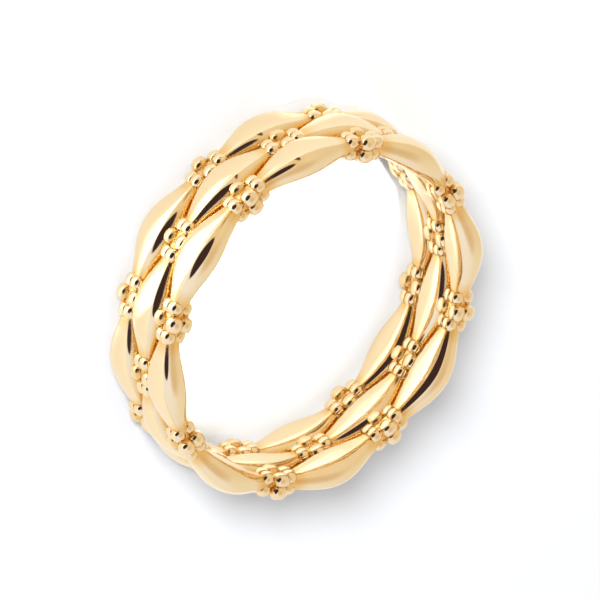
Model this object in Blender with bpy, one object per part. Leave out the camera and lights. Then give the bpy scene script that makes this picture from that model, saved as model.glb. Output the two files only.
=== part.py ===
"""Openwork band ring: three rows of pointed swellings and bead knots, soldered into one band.

The ring lies on its side. Its finger axis is the world's Z axis, and its back row touches z = 0.
All lengths are in metres.
"""
import math

import bmesh
import bpy
from mathutils import Matrix, Vector

# Layout
ROWS = 3
SWELLINGS = 8
WIRE_CIRCLE_RADIUS = 0.0095

# One swelling: half sizes at its widest place, and how sharply it draws in to its ends
SWELLING_HALF_DEPTH = 0.00083
SWELLING_HALF_WIDTH = 0.00117
SWELLING_OUTWARD_SHIFT = 0.00011
TAPER_POWER = 2.28

# Wire between the swellings
WIRE_RADIUS = 0.0004

# One knot: three rings of four beads round the wire. The middle ring's beads are larger, stand
# out, and sit at the corners of an upright oblong. A barrel stands for the two end rings.
BEAD_RADIUS = 0.00044
BEAD_OUT = 0.00034
BEAD_UP = 0.0005
RING_STEP = 0.00077
END_BEAD_RADIUS = 0.000385
END_RING_CIRCLE = 0.00038
BARREL_INSET = 0.00006

# How far a knot is soldered into the swellings beside it
SOLDER_DEPTH = 0.00024

# Mesh fineness
SECTION_SIDES = 10
BEAD_SIDES = 10
BEAD_BANDS = 4
SHARP_EDGE_ANGLE = math.radians(50.0)

# Places along one swelling, as shares of the free stretch between its two knots. Between the
# middle two it keeps its full size, which leaves the small flat that the ring rests on.
FULL_SIZE_SHARE = 0.40
SWELLING_SHARES = (0.0, 0.17, FULL_SIZE_SHARE, 1.0 - FULL_SIZE_SHARE, 0.83, 1.0)

# Sizes that follow
BARREL_RADIUS = END_RING_CIRCLE + END_BEAD_RADIUS - BARREL_INSET
BARREL_HALF_LENGTH = RING_STEP
KNOT_HALF_LENGTH = BARREL_HALF_LENGTH + END_BEAD_RADIUS
ROW_PITCH = SWELLING_HALF_WIDTH + BARREL_RADIUS - SOLDER_DEPTH
STEP_ANGLE = 2.0 * math.pi / SWELLINGS
STEP_LENGTH = STEP_ANGLE * WIRE_CIRCLE_RADIUS
BARREL_SHARE = BARREL_HALF_LENGTH / STEP_LENGTH
ROOT_SHARE = KNOT_HALF_LENGTH / STEP_LENGTH

GOLD = (0.92, 0.66, 0.28, 1.0)
GOLD_ROUGHNESS = 0.12


def clear_scene():
    """Remove every object of the scene."""
    for item in list(bpy.data.objects):
        bpy.data.objects.remove(item)


def new_collection(name):
    """Make a collection under the scene's own."""
    collection = bpy.data.collections.new(name)
    bpy.context.scene.collection.children.link(collection)
    return collection


def gold_material():
    """Polished yellow gold."""
    material = bpy.data.materials.new("yellow_gold")
    material.use_nodes = True
    shader = material.node_tree.nodes["Principled BSDF"]
    shader.inputs["Base Color"].default_value = GOLD
    shader.inputs["Metallic"].default_value = 1.0
    shader.inputs["Roughness"].default_value = GOLD_ROUGHNESS
    return material


def swelling_place(share):
    """Turn a share of the free stretch into a share of the whole step from knot to knot."""
    return ROOT_SHARE + share * (1.0 - 2.0 * ROOT_SHARE)


def swell(share):
    """Tell how much of its full size a swelling has at a share of the step."""
    full_from = swelling_place(FULL_SIZE_SHARE)
    size = math.sin(math.pi * share) / math.sin(math.pi * full_from)
    return min(1.0, size) ** TAPER_POWER


def row_stations():
    """List the sections of one step of a row as (share of the step, barrel or not)."""
    stations = [(BARREL_SHARE, True)]
    for share in SWELLING_SHARES:
        stations.append((swelling_place(share), False))
    stations.append((1.0 - BARREL_SHARE, True))
    return stations


def section_size(share, is_barrel):
    """Give a section's half depth, its half width and how far it is shifted outwards."""
    if is_barrel:
        return BARREL_RADIUS, BARREL_RADIUS, 0.0
    size = swell(share)
    half_depth = WIRE_RADIUS + (SWELLING_HALF_DEPTH - WIRE_RADIUS) * size
    half_width = WIRE_RADIUS + (SWELLING_HALF_WIDTH - WIRE_RADIUS) * size
    return half_depth, half_width, SWELLING_OUTWARD_SHIFT * size


def add_row(name, height, turn, collection):
    """Make one row from a torus, whose sections are moved to their stations and swollen."""
    stations = row_stations()
    sections = SWELLINGS * len(stations)
    bpy.ops.mesh.primitive_torus_add(
        major_segments=sections,
        minor_segments=SECTION_SIDES,
        major_radius=WIRE_CIRCLE_RADIUS,
        minor_radius=WIRE_RADIUS,
    )
    row = bpy.context.object
    row.name = name
    # The section's highest corners lie at the full half width
    highest = max(math.sin(2.0 * math.pi * side / SECTION_SIDES) for side in range(SECTION_SIDES))
    for vertex in row.data.vertices:
        around = math.atan2(vertex.co.y, vertex.co.x) % (2.0 * math.pi)
        index = round(around / (2.0 * math.pi) * sections) % sections
        step, place = divmod(index, len(stations))
        share, is_barrel = stations[place]
        half_depth, half_width, shift = section_size(share, is_barrel)
        side = math.atan2(vertex.co.z, vertex.co.xy.length - WIRE_CIRCLE_RADIUS)
        angle = turn + (step + share) * STEP_ANGLE
        reach = WIRE_CIRCLE_RADIUS + shift + half_depth * math.cos(side)
        rise = half_width * math.sin(side) / highest
        vertex.co = (reach * math.cos(angle), reach * math.sin(angle), height + rise)
    move_to(row, collection)
    return row


def move_to(item, collection):
    """Keep an object in one collection only."""
    for owner in list(item.users_collection):
        owner.objects.unlink(item)
    collection.objects.link(item)


def add_knot_beads(shape, height, angle, out_side):
    """Add the two standing-out beads on the inner (-1) or outer (1) side of one knot."""
    outward = Vector((math.cos(angle), math.sin(angle), 0.0))
    along = Vector((-math.sin(angle), math.cos(angle), 0.0))
    up = Vector((0.0, 0.0, 1.0))
    knot_centre = outward * WIRE_CIRCLE_RADIUS + up * height
    for up_side in (-1.0, 1.0):
        corner = outward * BEAD_OUT * out_side + up * BEAD_UP * up_side
        away = corner.normalized()
        place = Matrix((along, away.cross(along), away)).transposed().to_4x4()
        place.translation = knot_centre + corner
        bmesh.ops.create_uvsphere(
            shape,
            u_segments=BEAD_SIDES,
            v_segments=BEAD_BANDS,
            radius=BEAD_RADIUS,
            matrix=place,
        )


def add_beads(name, rows, out_side, collection):
    """Make the beads on one side of every knot as one object. No two of them touch."""
    shape = bmesh.new()
    for height, turn in rows:
        for knot in range(SWELLINGS):
            add_knot_beads(shape, height, turn + knot * STEP_ANGLE, out_side)
    mesh = bpy.data.meshes.new(name)
    shape.to_mesh(mesh)
    shape.free()
    beads = bpy.data.objects.new(name, mesh)
    collection.objects.link(beads)
    return beads


def solder(band, piece):
    """Join a piece to the band for good, and keep the piece only as a guide."""
    joint = band.modifiers.new("solder_" + piece.name, "BOOLEAN")
    joint.operation = "UNION"
    joint.solver = "EXACT"
    joint.object = piece
    piece.hide_render = True
    piece.display_type = "WIRE"


def build_ring():
    """Build the ring as one solid."""
    clear_scene()
    ring_parts = new_collection("openwork_ring")
    guides = new_collection("soldered_pieces")
    gold = gold_material()

    # Every other row is turned by half a step, so its knots nest beside the swellings
    rows = []
    for number in range(ROWS):
        height = SWELLING_HALF_WIDTH + number * ROW_PITCH
        turn = STEP_ANGLE / 2.0 * (number % 2)
        rows.append((height, turn))

    band = add_row("ring_band", *rows[0], ring_parts)
    band.data.materials.append(gold)
    for number, (height, turn) in enumerate(rows[1:], start=2):
        row = add_row(f"row_{number}", height, turn, guides)
        row.data.materials.append(gold)
        solder(band, row)
    for name, out_side in (("outer_beads", 1.0), ("inner_beads", -1.0)):
        beads = add_beads(name, rows, out_side, guides)
        beads.data.materials.append(gold)
        solder(band, beads)
    band.data.shade_smooth()
    band.data.set_sharp_from_angle(angle=SHARP_EDGE_ANGLE)
    return band


build_ring()
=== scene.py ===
"""Looks of the openwork band ring.

Three wires of pointed swellings and their knots of small beads stand in for the CAD band in its
own place. They are finished as polished yellow gold and shown on a pale studio floor. Lengths
are metres.
"""

from __future__ import annotations

import logging
import math
from dataclasses import dataclass
from enum import Enum

import bpy
from mathutils import Matrix, Vector

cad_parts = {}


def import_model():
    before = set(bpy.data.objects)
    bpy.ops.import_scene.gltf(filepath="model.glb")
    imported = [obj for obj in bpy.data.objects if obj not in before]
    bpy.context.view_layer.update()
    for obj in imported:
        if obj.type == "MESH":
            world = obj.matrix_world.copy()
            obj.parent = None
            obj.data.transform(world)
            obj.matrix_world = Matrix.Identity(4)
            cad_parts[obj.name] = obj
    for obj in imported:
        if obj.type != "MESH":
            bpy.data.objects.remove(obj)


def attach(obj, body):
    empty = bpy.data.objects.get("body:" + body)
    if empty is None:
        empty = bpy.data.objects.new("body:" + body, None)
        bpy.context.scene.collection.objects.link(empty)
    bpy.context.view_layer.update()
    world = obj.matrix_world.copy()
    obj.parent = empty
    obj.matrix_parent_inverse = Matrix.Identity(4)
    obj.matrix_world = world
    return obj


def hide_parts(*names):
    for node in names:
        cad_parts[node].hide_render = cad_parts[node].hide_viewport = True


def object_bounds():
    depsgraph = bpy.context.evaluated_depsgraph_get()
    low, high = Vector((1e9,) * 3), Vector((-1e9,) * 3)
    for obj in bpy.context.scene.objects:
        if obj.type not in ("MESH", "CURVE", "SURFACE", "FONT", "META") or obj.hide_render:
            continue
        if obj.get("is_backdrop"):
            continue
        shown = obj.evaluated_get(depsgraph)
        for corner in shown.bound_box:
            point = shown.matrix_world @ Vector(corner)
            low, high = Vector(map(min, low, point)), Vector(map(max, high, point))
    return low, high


LOG = logging.getLogger("openwork_ring")
CAD_BAND = "ring_band"
BODY = "root"
# Point attribute of the hollows: rough cast skin, and painted shade in the gold's colour
SKIN_AND_SHADE_ATTRIBUTE = "cast_skin_and_painted_shade"

Light = tuple[float, float, float]
Colour = tuple[float, float, float, float]

# A full turn, where angles are in degrees
FULL_TURN = 360.0

# The middle of a noise pattern, which runs from 0 to 1
NOISE_MIDDLE = 0.5

# Which sockets of the Mix node are its colours, and which output of Random Value is its number
MIX_FIRST = 6
MIX_SECOND = 7
MIX_RESULT = 2
RANDOM_NUMBER = 1


class Number:
    """A number that flows through a node tree. Arithmetic on it adds Math nodes."""

    def __init__(self, tree: bpy.types.NodeTree, socket: bpy.types.NodeSocket) -> None:
        """Keep the tree and the socket that the number comes out of.

        Args:
            tree: The node tree that grows.
            socket: The output that gives the number.
        """
        self.tree = tree
        self.socket = socket

    def joined(self, operation: str, *others: Number | float) -> Number:
        """Add one Math node.

        Args:
            operation: The Math node's operation.
            others: What goes into its further inputs.

        Returns:
            The node's result.
        """
        node = self.tree.nodes.new("ShaderNodeMath")
        node.operation = operation
        self.tree.links.new(self.socket, node.inputs[0])
        for place, other in enumerate(others, start=1):
            if isinstance(other, Number):
                self.tree.links.new(other.socket, node.inputs[place])
            else:
                node.inputs[place].default_value = other
        return Number(self.tree, node.outputs[0])

    def __add__(self, other: Number | float) -> Number:
        """Give the sum."""
        return self.joined("ADD", other)

    def __sub__(self, other: Number | float) -> Number:
        """Give the difference."""
        return self.joined("SUBTRACT", other)

    def __mul__(self, other: Number | float) -> Number:
        """Give the product."""
        return self.joined("MULTIPLY", other)

    def __truediv__(self, other: Number | float) -> Number:
        """Give the quotient."""
        return self.joined("DIVIDE", other)

    def __mod__(self, other: Number | float) -> Number:
        """Give the remainder, never below zero."""
        return self.joined("FLOORED_MODULO", other)

    def __pow__(self, other: Number | float) -> Number:
        """Give the power."""
        return self.joined("POWER", other)

    def floor(self) -> Number:
        """Round down."""
        return self.joined("FLOOR")

    def size(self) -> Number:
        """Drop the sign."""
        return self.joined("ABSOLUTE")

    def sign(self) -> Number:
        """Keep only the sign."""
        return self.joined("SIGN")

    def sin(self) -> Number:
        """Give the sine."""
        return self.joined("SINE")

    def cos(self) -> Number:
        """Give the cosine."""
        return self.joined("COSINE")

    def hypotenuse(self, other: Number) -> Number:
        """Give the length that this length and another at right angles to it span."""
        return (self * self + other * other) ** 0.5

    def eased(self, start: float, end: float) -> Number:
        """Rise softly from 0 to 1 while this number goes from the start to the end.

        Args:
            start: Where the rise starts.
            end: Where it ends, which may be below the start.

        Returns:
            The eased number.
        """
        node = self.tree.nodes.new("ShaderNodeMapRange")
        node.interpolation_type = "SMOOTHSTEP"
        self.tree.links.new(self.socket, node.inputs["Value"])
        node.inputs["From Min"].default_value = start
        node.inputs["From Max"].default_value = end
        return Number(self.tree, node.outputs["Result"])

    def blended(
        self, first: bpy.types.NodeSocket | Colour, second: Colour
    ) -> bpy.types.NodeSocket:
        """Blend two colours, with this number as the second one's share.

        Args:
            first: A colour, or the socket that gives it.
            second: The other colour.

        Returns:
            The blended colour.
        """
        node = self.tree.nodes.new("ShaderNodeMix")
        node.data_type = "RGBA"
        self.tree.links.new(self.socket, node.inputs["Factor"])
        if isinstance(first, bpy.types.NodeSocket):
            self.tree.links.new(first, node.inputs[MIX_FIRST])
        else:
            node.inputs[MIX_FIRST].default_value = first
        node.inputs[MIX_SECOND].default_value = second
        return node.outputs[MIX_RESULT]


class ShapeTree:
    """A Geometry Nodes tree that is built up node by node and then turned into a plain mesh."""

    def __init__(self, name: str) -> None:
        """Start an empty tree.

        Args:
            name: The tree's name.
        """
        self.tree = bpy.data.node_groups.new(name, "GeometryNodeTree")
        self.tree.is_modifier = True
        self.tree.interface.new_socket(
            name="Geometry", in_out="OUTPUT", socket_type="NodeSocketGeometry"
        )
        self.inputs = self.tree.nodes.new("NodeGroupInput")
        self.output = self.tree.nodes.new("NodeGroupOutput")
        self.values: dict[str, object] = {}

    def _new_input(self, name: str, kind: str, value: object) -> bpy.types.NodeSocket:
        """Add a named input and remember its value under its identifier.

        Args:
            name: The input's name.
            kind: The type of its socket.
            value: What it holds.

        Returns:
            The socket that gives the value inside the tree.
        """
        item = self.tree.interface.new_socket(name=name, in_out="INPUT", socket_type=kind)
        self.values[item.identifier] = value
        return self.inputs.outputs[name]

    def length(self, name: str, value: float) -> Number:
        """Add a named input for a length, an angle or a ratio."""
        return Number(self.tree, self._new_input(name, "NodeSocketFloat", value))

    def count(self, name: str, value: int) -> Number:
        """Add a named input for a whole number."""
        return Number(self.tree, self._new_input(name, "NodeSocketInt", value))

    def finish_input(self, material: bpy.types.Material) -> bpy.types.NodeSocket:
        """Add the named input for the material."""
        return self._new_input("Finish", "NodeSocketMaterial", material)

    def node(self, kind: str, does: str = "", **links: object) -> bpy.types.Node:
        """Add a node.

        Args:
            kind: The node's type.
            does: Its operation, where it has several.
            links: Its inputs by name, with spaces as underscores. Each is a socket, a Number, a
                node whose first output is meant, or a plain value.

        Returns:
            The new node.
        """
        node = self.tree.nodes.new(kind)
        if does:
            node.operation = does
        for name, value in links.items():
            socket = node.inputs[name.replace("_", " ")]
            if isinstance(value, Number):
                self.tree.links.new(value.socket, socket)
            elif isinstance(value, bpy.types.Node):
                self.tree.links.new(value.outputs[0], socket)
            elif isinstance(value, bpy.types.NodeSocket):
                self.tree.links.new(value, socket)
            else:
                socket.default_value = value
        return node

    def position(self) -> tuple[Number, Number, Number]:
        """Give the three parts of each point's position."""
        return self.parts(self.node("GeometryNodeInputPosition"))

    def parts(self, vector: bpy.types.Node) -> tuple[Number, Number, Number]:
        """Give the three parts of a vector, which is the node's first output."""
        parts = self.node("ShaderNodeSeparateXYZ", Vector=vector)
        return tuple(Number(self.tree, socket) for socket in parts.outputs)

    def mark_skin_and_painted_shade(
        self, metal: bpy.types.Node, measure: Number, full: float, none: float
    ) -> bpy.types.Node:
        """Mark the hollows, which the polishing wheel doesn't reach, in a point attribute.

        There the metal is rough cast skin, and its colour is darkened with painted shade.

        Args:
            metal: The node whose first output is the metal.
            measure: A number that runs through the shape.
            full: Where that number marks full cast skin and painted shade.
            none: Where that number marks none.

        Returns:
            The node whose first output is the marked metal.
        """
        return self.node(
            "GeometryNodeStoreNamedAttribute",
            Geometry=metal,
            Name=SKIN_AND_SHADE_ATTRIBUTE,
            Value=measure.eased(none, full),
        )

    def polished_inside(self, metal: bpy.types.Node, sizes: BandSizes) -> bpy.types.Node:
        """Rub away what stands further into the finger hole than the polished inside.

        Args:
            metal: The node whose first output is the metal before it is polished.
            sizes: The band's sizes.

        Returns:
            The node whose first output is the polished metal.
        """
        inside = self.length("Polished inside radius", sizes.polished_radius)
        edge = self.length("Polished edge softness", sizes.polished_softness)
        across, ahead, above = self.position()
        outward = across.hypotenuse(ahead)
        stretch = outward.joined("SMOOTH_MAX", inside, edge) / outward
        place = self.node(
            "ShaderNodeCombineXYZ", X=across * stretch, Y=ahead * stretch, Z=above
        )
        return self.node("GeometryNodeSetPosition", Geometry=metal, Position=place)

    def mesh_object(self, name: str, last: bpy.types.Node) -> bpy.types.Object:
        """Close the tree, run it once and keep its result as a plain mesh.

        Args:
            name: The new object's name.
            last: The node whose first output is the finished geometry.

        Returns:
            An object at the origin, without modifiers.
        """
        self.tree.links.new(last.outputs[0], self.output.inputs[0])
        carrier = bpy.data.objects.new(name, bpy.data.meshes.new(name + "_seed"))
        bpy.context.scene.collection.objects.link(carrier)
        modifier = carrier.modifiers.new("shape", "NODES")
        modifier.node_group = self.tree
        for identifier, value in self.values.items():
            modifier[identifier] = value
        graph = bpy.context.evaluated_depsgraph_get()
        mesh = bpy.data.meshes.new_from_object(
            carrier.evaluated_get(graph), preserve_all_data_layers=True, depsgraph=graph
        )
        carrier.modifiers.remove(modifier)
        carrier.data = mesh
        mesh.name = name
        return carrier


@dataclass(frozen=True)
class BandSizes:
    """The sizes that rows and knots share. They are those of the CAD model."""

    swellings: int = 8
    wire_circle_radius: float = 0.0095
    wire_radius: float = 0.0004
    swelling_half_width: float = 0.00117
    row_pitch: float = 0.001635
    polished_radius: float = 0.0088
    polished_softness: float = 0.00005

    def row_height(self, row: int) -> float:
        """Give the height of a row's wire, counted from the row that lies on the floor."""
        return self.swelling_half_width + row * self.row_pitch

    def row_turn(self, row: int) -> float:
        """Give how far a row is turned. Every other row is turned by half a step."""
        return math.pi / self.swellings * (row % 2)


class Row(Enum):
    """The three rows, by their number from the floor up."""

    BOTTOM = 0
    MIDDLE = 1
    TOP = 2


@dataclass
class SwellingRow:
    """One wire that swells into pointed ovals between its knots."""

    row: Row
    sizes: BandSizes
    half_depth: float = 0.00083
    outward_shift: float = 0.00011
    taper_power: float = 2.28
    core_radius: float = 0.0005
    core_power: float = 19.0
    fullness: float = 2.3
    # Where the tips and the flanks between rows get rough cast skin and painted shade
    skin_and_shade_tip_size: float = 0.5
    skin_and_shade_flank_from: float = 0.7
    full_skin_and_shade_at: float = 0.8
    no_skin_and_shade_at: float = 0.0
    stations_per_swelling: int = 88
    section_sides: int = 56

    def build(self, finish: bpy.types.Material) -> bpy.types.Object:
        """Sweep a circle round the wire's path and move its points to the swollen form.

        Args:
            finish: The row's material.

        Returns:
            The row as a plain mesh object.
        """
        name = f"swelling_row_{self.row.name.lower()}"
        shape = ShapeTree(name)
        radius = shape.length("Wire circle radius", self.sizes.wire_circle_radius)
        wire = shape.length("Wire radius", self.sizes.wire_radius)
        swellings = shape.count("Swellings", self.sizes.swellings)
        stations = shape.count("Stations per swelling", self.stations_per_swelling)
        sides = shape.count("Section sides", self.section_sides)
        depth = shape.length("Half depth", self.half_depth)
        width = shape.length("Half width", self.sizes.swelling_half_width)
        shift = shape.length("Outward shift", self.outward_shift)
        power = shape.length("Taper power", self.taper_power)
        core = shape.length("Knot core radius", self.core_radius)
        core_power = shape.length("Knot core power", self.core_power)
        fullness = shape.length("Fullness", self.fullness)
        height = shape.length("Row height", self.sizes.row_height(self.row.value))
        turn = shape.length("Row turn", self.sizes.row_turn(self.row.value))

        path = shape.node(
            "GeometryNodeCurvePrimitiveCircle", Resolution=swellings * stations, Radius=radius
        )
        section = shape.node("GeometryNodeCurvePrimitiveCircle", Resolution=sides, Radius=wire)
        tube = shape.node("GeometryNodeCurveToMesh", Curve=path, Profile_Curve=section)

        across, ahead, above = shape.position()
        around = ahead.joined("ARCTAN2", across)
        share = around * swellings / math.tau % 1.0
        swell = (share * math.pi).sin().size() ** power
        thin = wire + (core - wire) * (share * math.pi).cos().size() ** core_power
        outside = across.hypotenuse(ahead) - radius
        side = above.joined("ARCTAN2", outside)
        out_part = self._filled(side.cos(), fullness)
        up_part = self._filled(side.sin(), fullness)
        reach = radius + shift * swell + out_part * (thin + (depth - thin) * swell)
        rise = height + up_part * (thin + (width - thin) * swell)
        angle = around + turn
        place = shape.node(
            "ShaderNodeCombineXYZ", X=reach * angle.cos(), Y=reach * angle.sin(), Z=rise
        )
        # The tips and the flanks between rows: rough cast skin, and painted shade in the colour
        skin_and_shade_depth = self._painted_shade_and_skin(shape, swell, side)
        marked = shape.mark_skin_and_painted_shade(
            tube, skin_and_shade_depth, full=self.full_skin_and_shade_at, none=self.no_skin_and_shade_at
        )
        swollen = shape.node("GeometryNodeSetPosition", Geometry=marked, Position=place)
        polished = shape.polished_inside(swollen, self.sizes)
        smooth = shape.node("GeometryNodeSetShadeSmooth", Geometry=polished)
        real = shape.node("GeometryNodeRealizeInstances", Geometry=smooth)
        dressed = shape.node(
            "GeometryNodeSetMaterial", Geometry=real, Material=shape.finish_input(finish)
        )
        return shape.mesh_object(name, dressed)

    def _painted_shade_and_skin(self, shape: ShapeTree, swell: Number, side: Number) -> Number:
        """Tell how deep among the hollows a point at a tip or between rows lies.

        The polishing wheel doesn't reach there, which leaves cast skin. Its colour there is
        painted shade.

        Args:
            shape: The tree to build in.
            swell: How much of its full size the swelling has there.
            side: The point's angle round the wire, from the outside upwards.

        Returns:
            Up to 0 in the open, and 1 deep among the hollows.
        """
        tips = shape.length("Skin and shade tip size", self.skin_and_shade_tip_size)
        flanks = shape.length("Skin and shade flank from", self.skin_and_shade_flank_from)
        row_above = shape.length("Row above", float(self.row is not Row.TOP))
        row_below = shape.length("Row below", float(self.row is not Row.BOTTOM))
        upwards = side.sin()
        flank = (upwards * row_above).joined("MAXIMUM", upwards * row_below * -1.0)
        between_rows = (flank - flanks) / (flanks * -1.0 + 1.0)
        return (swell / tips * -1.0 + 1.0).joined("MAXIMUM", between_rows)

    @staticmethod
    def _filled(part: Number, fullness: Number) -> Number:
        """Fill an oval out towards a box: fullness 2 is the oval itself."""
        exponent = fullness**-1.0 * 2.0
        return part.sign() * part.size() ** exponent


@dataclass
class BeadKnots:
    """Knots of small beads: three rings of beads round the wire, the middle ring standing out.

    The four beads of a ring sit at the corners of an oblong, which is tall in the middle ring.
    """

    sizes: BandSizes
    half_length: float = 0.00046
    half_width: float = 0.00046
    half_height: float = 0.00044
    fullness: float = 2.7
    end_share: float = 0.875
    rings: int = 3
    beads_per_ring: int = 4
    ring_step: float = 0.00077
    middle_out: float = 0.00034
    middle_up: float = 0.0005
    outer_out: float = 0.00032
    outer_up: float = 0.00022
    size_spread: float = 0.02
    seed: int = 7
    bead_cuts: int = 4
    # How far down a bead, towards the wire, it gets rough cast skin and painted shade
    full_skin_and_shade_below: float = -0.1
    no_skin_and_shade_above: float = 0.45

    def build(self, finish: bpy.types.Material) -> bpy.types.Object:
        """Place every bead of every knot by its number.

        Args:
            finish: The beads' material.

        Returns:
            All beads as one plain mesh object.
        """
        shape = ShapeTree("bead_knots")
        rows = shape.count("Rows", len(Row))
        knots = shape.count("Knots per row", self.sizes.swellings)
        rings = shape.count("Rings per knot", self.rings)
        beads = shape.count("Beads per ring", self.beads_per_ring)
        radius = shape.length("Wire circle radius", self.sizes.wire_circle_radius)
        height = shape.length("First row height", self.sizes.row_height(Row.BOTTOM.value))
        pitch = shape.length("Row pitch", self.sizes.row_pitch)
        step = shape.length("Ring step", self.ring_step)

        index = Number(shape.tree, shape.node("GeometryNodeInputIndex").outputs[0])
        bead = index % beads
        ring = (index / beads).floor() % rings
        knot = (index / (beads * rings)).floor() % knots
        row = (index / (beads * rings * knots)).floor()

        from_middle = ring - (rings - 1.0) / 2.0
        outward, upward = self._corner(shape, (bead + 0.5) / beads * math.tau, from_middle)
        knot_angle = (row % 2.0) * math.pi / knots + knot / knots * math.tau
        angle = knot_angle + from_middle * step / radius
        reach = radius + outward
        rise = height + row * pitch + upward
        place = shape.node(
            "ShaderNodeCombineXYZ", X=reach * angle.cos(), Y=reach * angle.sin(), Z=rise
        )
        points = shape.node(
            "GeometryNodePoints", Count=rows * knots * rings * beads, Position=place
        )
        placed = shape.node(
            "GeometryNodeInstanceOnPoints",
            Points=points,
            Instance=self._bead(shape),
            Rotation=self._turned(shape, angle, upward.joined("ARCTAN2", outward)),
            Scale=self._bead_scale(shape, from_middle),
        )
        real = shape.node("GeometryNodeRealizeInstances", Geometry=placed)
        polished = shape.polished_inside(real, self.sizes)
        smooth = shape.node("GeometryNodeSetShadeSmooth", Geometry=polished)
        dressed = shape.node(
            "GeometryNodeSetMaterial", Geometry=smooth, Material=shape.finish_input(finish)
        )
        return shape.mesh_object("bead_knots", dressed)

    def _corner(
        self, shape: ShapeTree, corner: Number, from_middle: Number
    ) -> tuple[Number, Number]:
        """Put a bead at its corner of the ring's oblong.

        Args:
            shape: The tree to build in.
            corner: An angle that points into the corner's quarter.
            from_middle: The ring's number, counted from the middle ring.

        Returns:
            How far outwards and how far upwards the bead stands from the wire.
        """
        middle_out = shape.length("Middle ring outward", self.middle_out)
        middle_up = shape.length("Middle ring upward", self.middle_up)
        outer_out = shape.length("End ring outward", self.outer_out)
        outer_up = shape.length("End ring upward", self.outer_up)
        outward = corner.cos().sign() * self._mixed(middle_out, outer_out, from_middle)
        upward = corner.sin().sign() * self._mixed(middle_up, outer_up, from_middle)
        return outward, upward

    def _bead_scale(self, shape: ShapeTree, from_middle: Number) -> Number:
        """Make the end rings' beads smaller, and vary every bead a little by chance.

        Args:
            shape: The tree to build in.
            from_middle: The ring's number, counted from the middle ring.

        Returns:
            The bead's size as a share of the middle ring's.
        """
        end_share = shape.length("End bead share", self.end_share)
        spread = shape.length("Size spread", self.size_spread)
        seed = shape.count("Seed", self.seed)
        chance = shape.node("FunctionNodeRandomValue", Seed=seed)
        by_chance = Number(shape.tree, chance.outputs[RANDOM_NUMBER]) * 2.0 - 1.0
        return (spread * by_chance + 1.0) * ((end_share - 1.0) * from_middle.size() + 1.0)

    @staticmethod
    def _turned(shape: ShapeTree, angle: Number, lean: Number) -> bpy.types.Node:
        """Turn a bead's top away from the wire and its length along it.

        Args:
            shape: The tree to build in.
            angle: The bead's place round the finger.
            lean: The direction from the wire to the bead, from the outside upwards.

        Returns:
            The node whose first output is the rotation.
        """
        away = shape.node(
            "ShaderNodeCombineXYZ",
            X=angle.cos() * lean.cos(),
            Y=angle.sin() * lean.cos(),
            Z=lean.sin(),
        )
        along = shape.node("ShaderNodeCombineXYZ", X=angle.sin() * -1.0, Y=angle.cos())
        turned = shape.node(
            "FunctionNodeAxesToRotation", Primary_Axis=away, Secondary_Axis=along
        )
        turned.primary_axis = "Z"
        turned.secondary_axis = "X"
        return turned

    @staticmethod
    def _mixed(middle: Number, end: Number, from_middle: Number) -> Number:
        """Give the middle ring's size or the end rings'."""
        return middle + (end - middle) * from_middle.size()

    def _bead(self, shape: ShapeTree) -> bpy.types.Node:
        """Make one bead from a cube whose points are pushed out to a rounded barrel.

        The points are first spread towards the cube's edges, which gives faces of even size.

        Args:
            shape: The tree to build in.

        Returns:
            The node whose first output is the bead, lying along X with its top towards Z.
        """
        cuts = shape.count("Bead cuts", self.bead_cuts)
        length = shape.length("Bead half length", self.half_length)
        width = shape.length("Bead half width", self.half_width)
        top = shape.length("Bead half height", self.half_height)
        fullness = shape.length("Bead fullness", self.fullness)
        cube = shape.node(
            "GeometryNodeMeshCube", Vertices_X=cuts, Vertices_Y=cuts, Vertices_Z=cuts
        )
        corner = shape.node("GeometryNodeInputPosition")
        turn = shape.node(
            "ShaderNodeVectorMath", does="SCALE", Vector=corner, Scale=math.pi / 2.0
        )
        spread = shape.node("ShaderNodeVectorMath", does="TANGENT", Vector=turn)
        direction = shape.node("ShaderNodeVectorMath", does="NORMALIZE", Vector=spread)
        ahead, aside, above = shape.parts(direction)
        full_out = ahead.size() ** fullness + aside.hypotenuse(above) ** fullness
        stretch = full_out ** (fullness**-1.0 * -1.0)
        # A bead's underside, towards the wire, gets rough cast skin and painted shade
        marked = shape.mark_skin_and_painted_shade(
            cube, above, full=self.full_skin_and_shade_below, none=self.no_skin_and_shade_above
        )
        pushed = shape.node(
            "ShaderNodeCombineXYZ",
            X=ahead * stretch * length,
            Y=aside * stretch * width,
            Z=above * stretch * top,
        )
        return shape.node("GeometryNodeSetPosition", Geometry=marked, Position=pushed)


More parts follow.
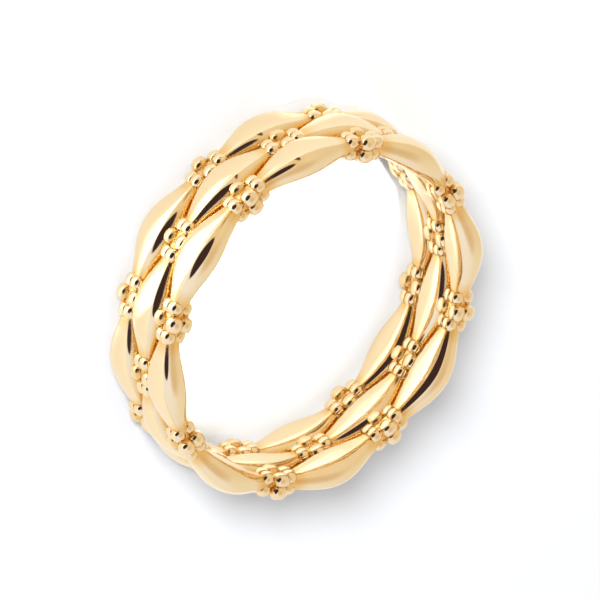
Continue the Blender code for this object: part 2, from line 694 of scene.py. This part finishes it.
class FinishTree:
    """A material's node tree over one Principled shader, patterned on object coordinates."""

    def __init__(self, name: str) -> None:
        """Start the material.

        Args:
            name: The material's name.
        """
        self.material = bpy.data.materials.new(name)
        self.material.use_nodes = True
        self.tree = self.material.node_tree
        self.shader = self.tree.nodes["Principled BSDF"]
        self.coordinates = self.tree.nodes.new("ShaderNodeTexCoord").outputs["Object"]

    def attribute(self, name: str) -> Number:
        """Give a point attribute of the mesh.

        Args:
            name: The attribute's name.

        Returns:
            Its value.
        """
        node = self.tree.nodes.new("ShaderNodeAttribute")
        node.attribute_name = name
        return Number(self.tree, node.outputs["Fac"])

    def noise(self, scale: float, detail: float, stretch: float = 1.0) -> Number:
        """Add a noise pattern.

        Args:
            scale: How many patches there are in a metre.
            detail: How many finer layers it has.
            stretch: How many times finer it is along the finger axis than round the finger.

        Returns:
            The pattern, about 0 to 1.
        """
        mapping = self.tree.nodes.new("ShaderNodeMapping")
        mapping.inputs["Scale"].default_value = (1.0, 1.0, stretch)
        self.tree.links.new(self.coordinates, mapping.inputs["Vector"])
        node = self.tree.nodes.new("ShaderNodeTexNoise")
        node.inputs["Scale"].default_value = scale
        node.inputs["Detail"].default_value = detail
        self.tree.links.new(mapping.outputs[0], node.inputs["Vector"])
        return Number(self.tree, node.outputs["Fac"])

    def bump(self, height: Number, depth: float) -> None:
        """Lay a relief over the one so far.

        Args:
            height: The relief, 0 to 1.
            depth: How deep it is.
        """
        node = self.tree.nodes.new("ShaderNodeBump")
        node.inputs["Distance"].default_value = depth
        self.tree.links.new(height.socket, node.inputs["Height"])
        normal = self.shader.inputs["Normal"]
        for link in normal.links:
            self.tree.links.new(link.from_socket, node.inputs["Normal"])
        self.tree.links.new(node.outputs["Normal"], normal)


@dataclass(frozen=True)
class PolishedGold:
    """Yellow gold with a mirror polish by hand; the hollows are cast skin with painted shade.
    """

    name: str = "polished_yellow_gold"
    colour: Colour = (0.955, 0.765, 0.47, 1.0)
    deep_colour: Colour = (0.94, 0.72, 0.41, 1.0)
    # Painted shade: a darker, more orange gold in the hollows, standing in for their shade and
    # the gold's reflections of itself
    painted_shade_colour: Colour = (0.9, 0.57, 0.2, 1.0)
    roughness: float = 0.045
    wear: float = 0.03
    hollow_roughness: float = 0.2
    cloud_scale: float = 450.0
    cloud_detail: float = 3.0
    wave_scale: float = 600.0
    wave_detail: float = 1.0
    wave_depth: float = 0.00001
    hairline_scale: float = 1400.0
    hairline_detail: float = 2.0
    hairline_stretch: float = 9.0
    hairline_depth: float = 0.0000004
    skin_scale: float = 8000.0
    skin_detail: float = 3.0
    skin_depth: float = 0.000003

    def material(self) -> bpy.types.Material:
        """Make the material.

        Returns:
            The finished material.
        """
        finish = FinishTree(self.name)
        cast_skin_and_painted_shade = finish.attribute(SKIN_AND_SHADE_ATTRIBUTE)
        clouds = finish.noise(self.cloud_scale, self.cloud_detail)
        waves = finish.noise(self.wave_scale, self.wave_detail)
        hairlines = finish.noise(
            self.hairline_scale, self.hairline_detail, self.hairline_stretch
        )
        skin = finish.noise(self.skin_scale, self.skin_detail)
        open_colour = clouds.blended(self.colour, self.deep_colour)
        # Painted shade: the hollows are blended towards the darker, more orange gold
        colour = cast_skin_and_painted_shade.blended(open_colour, self.painted_shade_colour)
        finish.tree.links.new(colour, finish.shader.inputs["Base Color"])
        roughness = hairlines * clouds * (self.wear / NOISE_MIDDLE) + self.roughness
        roughness = roughness + cast_skin_and_painted_shade * skin * (self.hollow_roughness / NOISE_MIDDLE)
        finish.tree.links.new(roughness.socket, finish.shader.inputs["Roughness"])
        finish.shader.inputs["Metallic"].default_value = 1.0
        finish.bump(waves, self.wave_depth)
        finish.bump(hairlines, self.hairline_depth)
        finish.bump(cast_skin_and_painted_shade * skin, self.skin_depth)
        return finish.material


@dataclass(frozen=True)
class PhotoCamera:
    """The camera at the photograph's angle to the ring, rolled and above the floor.

    Its clip range is how many times nearer and further than the ring it sees.
    """

    azimuth: float = math.radians(-116.98)
    elevation: float = math.radians(44.13)
    roll: float = math.radians(123.82)
    distance: float = 0.4185
    focal_length: float = 484.3
    sensor: float = 36.0
    aside: float = 0.000121
    upwards: float = 0.000112
    clip_range: float = 100.0

    def place(self, target: Vector) -> bpy.types.Object:
        """Create the camera and make it the scene's.

        Args:
            target: The middle of the ring.

        Returns:
            The camera object.
        """
        level = math.cos(self.elevation)
        back = Vector(
            (
                level * math.cos(self.azimuth),
                level * math.sin(self.azimuth),
                math.sin(self.elevation),
            )
        )
        level_right = Vector((-math.sin(self.azimuth), math.cos(self.azimuth), 0.0))
        level_up = back.cross(level_right)
        right = math.cos(self.roll) * level_right + math.sin(self.roll) * level_up
        up = math.cos(self.roll) * level_up - math.sin(self.roll) * level_right
        data = bpy.data.cameras.new("photo_camera")
        data.lens = self.focal_length
        data.sensor_width = self.sensor
        data.clip_start = self.distance / self.clip_range
        data.clip_end = self.distance * self.clip_range
        camera = bpy.data.objects.new("photo_camera", data)
        turned = Matrix((right, up, back)).transposed().to_4x4()
        turned.translation = (
            target + back * self.distance + right * self.aside + up * self.upwards
        )
        camera.matrix_world = turned
        bpy.context.scene.collection.objects.link(camera)
        bpy.context.scene.camera = camera
        return camera


@dataclass(frozen=True)
class Cloth:
    """An upright strip of the tent, by the azimuth of its middle and the light it gives."""

    azimuth: float
    light: Light


@dataclass(frozen=True)
class Opening:
    """A dark gap in the tent, with rounded corners and soft edges. Angles are degrees.

    Its lean is how many degrees its middle moves round the table for each degree further up.
    """

    azimuth: float
    elevation: float
    half_width: float
    half_height: float
    roundness: float
    softness: float
    light: Light
    lean: float = 0.0

    def inside(self, azimuth: Number, elevation: Number) -> Number:
        """Tell which directions go through the opening.

        Args:
            azimuth: The direction round the table.
            elevation: The direction up from the table.

        Returns:
            1 inside the opening and 0 outside it, with a soft edge.
        """
        above_middle = elevation - self.elevation
        aside = azimuth - self.azimuth - above_middle * self.lean
        wide = (aside / self.half_width).size()
        high = (above_middle / self.half_height).size()
        out = (wide**self.roundness + high**self.roundness) ** (1.0 / self.roundness)
        return out.eased(1.0 + self.softness, 1.0 - self.softness)


@dataclass(frozen=True)
class SoftTent:
    """The bright cloth tent round the table, as the world's light."""

    cloths: tuple[Cloth, ...] = (
        Cloth(-160.0, (0.89, 0.75, 0.56)),
        Cloth(-110.0, (0.89, 0.90, 0.99)),
        Cloth(-60.0, (0.95, 1.02, 1.26)),
        Cloth(0.0, (0.93, 0.97, 1.12)),
        Cloth(60.0, (0.89, 0.86, 0.82)),
        Cloth(120.0, (0.85, 0.77, 0.63)),
        Cloth(180.0, (0.90, 0.81, 0.68)),
    )
    roof: Light = (0.76, 0.63, 0.48)
    roof_from: float = 45.0
    roof_full: float = 80.0
    openings: tuple[Opening, ...] = (
        Opening(-109.0, 28.0, 43.0, 26.0, 1.9, 0.06, (0.05, 0.03, 0.035), lean=-0.3),
        Opening(-163.0, 4.0, 3.4, 19.0, 2.0, 0.25, (0.16, 0.1, 0.08)),
    )

    def build(self) -> bpy.types.World:
        """Make the world.

        Returns:
            The finished world.
        """
        world = bpy.data.worlds.new("soft_tent")
        world.use_nodes = True
        tree = world.node_tree
        parts = tree.nodes.new("ShaderNodeSeparateXYZ")
        direction = tree.nodes.new("ShaderNodeTexCoord").outputs["Generated"]
        tree.links.new(direction, parts.inputs[0])
        across, ahead, above = (Number(tree, socket) for socket in parts.outputs)
        azimuth = ahead.joined("ARCTAN2", across) * (FULL_TURN / math.tau)
        elevation = above.joined("ARCSINE") * (FULL_TURN / math.tau)
        under_roof = elevation.eased(self.roof_from, self.roof_full)
        light = under_roof.blended(self._walls(azimuth), (*self.roof, 1.0))
        for opening in self.openings:
            inside = opening.inside(azimuth, elevation)
            light = inside.blended(light, (*opening.light, 1.0))
        tree.links.new(light, tree.nodes["Background"].inputs["Color"])
        return world

    def _walls(self, azimuth: Number) -> bpy.types.NodeSocket:
        """Hang the cloths round the table, each running softly into the next.

        Args:
            azimuth: The direction round the table.

        Returns:
            The walls' light.
        """
        ramp = azimuth.tree.nodes.new("ShaderNodeValToRGB")
        ramp.color_ramp.interpolation = "EASE"
        # The last cloth, at half a turn, is hung at minus half a turn too
        hung = (Cloth(-FULL_TURN / 2.0, self.cloths[-1].light), *self.cloths)
        stops = ramp.color_ramp.elements
        while len(stops) < len(hung):
            stops.new(0.5)
        # A stop that moves can change places with another, so the colours come afterwards
        for stop, cloth in zip(stops, hung):
            stop.position = cloth.azimuth / FULL_TURN + 0.5
        for stop, cloth in zip(stops, hung):
            stop.color = (*cloth.light, 1.0)
        azimuth.tree.links.new((azimuth / FULL_TURN + 0.5).socket, ramp.inputs["Fac"])
        return ramp.outputs["Color"]


class LampForm(Enum):
    """The outline of a lamp's bright face."""

    OVAL = "ELLIPSE"
    OBLONG = "RECTANGLE"


@dataclass(frozen=True)
class TableLamp:
    """A lamp that lights the table. The metal doesn't mirror it. Its angles are degrees."""

    name: str
    place: tuple[float, float, float]
    aim: tuple[float, float, float]
    size: tuple[float, float]
    power: float
    form: LampForm = LampForm.OVAL
    colour: Light = (1.0, 1.0, 1.0)
    spread: float = 180.0
    turn: float = 0.0

    def build(self) -> bpy.types.Object:
        """Hang the lamp.

        Returns:
            The lamp object.
        """
        data = bpy.data.lights.new(self.name, "AREA")
        data.shape = self.form.value
        data.size, data.size_y = self.size
        data.energy = self.power
        data.color = self.colour
        data.spread = math.radians(self.spread)
        lamp = bpy.data.objects.new(self.name, data)
        towards = Vector(self.aim) - Vector(self.place)
        aimed = towards.to_track_quat("-Z", "Y").to_matrix()
        turned = Matrix.Rotation(math.radians(self.turn), 3, "Z")
        lamp.rotation_euler = (aimed @ turned).to_euler()
        lamp.location = self.place
        lamp.visible_camera = False
        lamp.visible_glossy = False
        bpy.context.scene.collection.objects.link(lamp)
        return lamp


@dataclass(frozen=True)
class Studio:
    """A pale floor in a tent of soft light.

    The key lamp casts the shadow. The others lighten the floor in front of the ring and in its
    hole.
    """

    tent: SoftTent = SoftTent()
    lamps: tuple[TableLamp, ...] = (
        TableLamp(
            "key_lamp",
            place=(-0.259, -0.415, 0.349),
            aim=(0.0, 0.0, 0.0),
            size=(0.19, 0.19),
            power=5.75,
            colour=(0.95, 0.94, 0.95),
        ),
        TableLamp(
            "pool_lamp",
            place=(-0.0085, -0.034, 0.03),
            aim=(-0.0085, -0.034, 0.0),
            size=(0.020, 0.044),
            power=0.0108,
            form=LampForm.OBLONG,
            colour=(0.9, 0.96, 1.08),
            spread=6.0,
        ),
        TableLamp(
            "hole_shade_lamp",
            place=(-0.002, -0.0013, 0.04),
            aim=(-0.002, -0.0013, 0.0),
            size=(0.018, 0.011),
            power=0.0006,
            form=LampForm.OBLONG,
            spread=5.0,
            turn=-38.0,
        ),
        TableLamp(
            "hole_pool_lamp",
            place=(0.0012, -0.001, 0.04),
            aim=(0.0012, -0.001, 0.0),
            size=(0.0045, 0.0115),
            power=0.00042,
            form=LampForm.OBLONG,
            spread=5.0,
        ),
        TableLamp(
            "hole_lamp",
            place=(0.0, 0.0, 0.04),
            aim=(0.0, 0.0, 0.0),
            size=(0.017, 0.017),
            power=0.00018,
            spread=4.0,
        ),
    )
    floor_half_side: float = 0.6
    floor_colour: Colour = (0.65, 0.685, 0.72, 1.0)
    floor_roughness: float = 0.8

    def build(self) -> None:
        """Lay the floor and light the scene."""
        self._floor()
        bpy.context.scene.world = self.tent.build()
        for lamp in self.lamps:
            lamp.build()

    def _floor(self) -> None:
        """Lay the pale floor."""
        side = self.floor_half_side
        mesh = bpy.data.meshes.new("studio_floor")
        corners = [
            (-side, -side, 0.0),
            (side, -side, 0.0),
            (side, side, 0.0),
            (-side, side, 0.0),
        ]
        mesh.from_pydata(corners, [], [(0, 1, 2, 3)])
        floor = bpy.data.objects.new("studio_floor", mesh)
        bpy.context.scene.collection.objects.link(floor)
        material = bpy.data.materials.new("pale_floor")
        material.use_nodes = True
        shader = material.node_tree.nodes["Principled BSDF"]
        shader.inputs["Base Color"].default_value = self.floor_colour
        shader.inputs["Roughness"].default_value = self.floor_roughness
        shader.inputs["Specular IOR Level"].default_value = 0.0
        mesh.materials.append(material)
        floor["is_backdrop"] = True


def main() -> None:
    """Build the ring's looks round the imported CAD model."""
    logging.basicConfig(level=logging.INFO, format="%(name)s: %(message)s")
    bpy.ops.wm.read_factory_settings(use_empty=True)
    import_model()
    cad_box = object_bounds()
    PhotoCamera().place((cad_box[0] + cad_box[1]) / 2.0)
    bpy.context.scene.view_settings.view_transform = "Standard"
    Studio().build()
    sizes = BandSizes()
    gold = PolishedGold().material()
    pieces = [SwellingRow(row, sizes).build(gold) for row in Row]
    pieces.append(BeadKnots(sizes).build(gold))
    for piece in pieces:
        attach(piece, BODY)
        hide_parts(CAD_BAND)
        LOG.info("%s: %d faces", piece.name, len(piece.data.polygons))


if __name__ == "__main__":
    main()
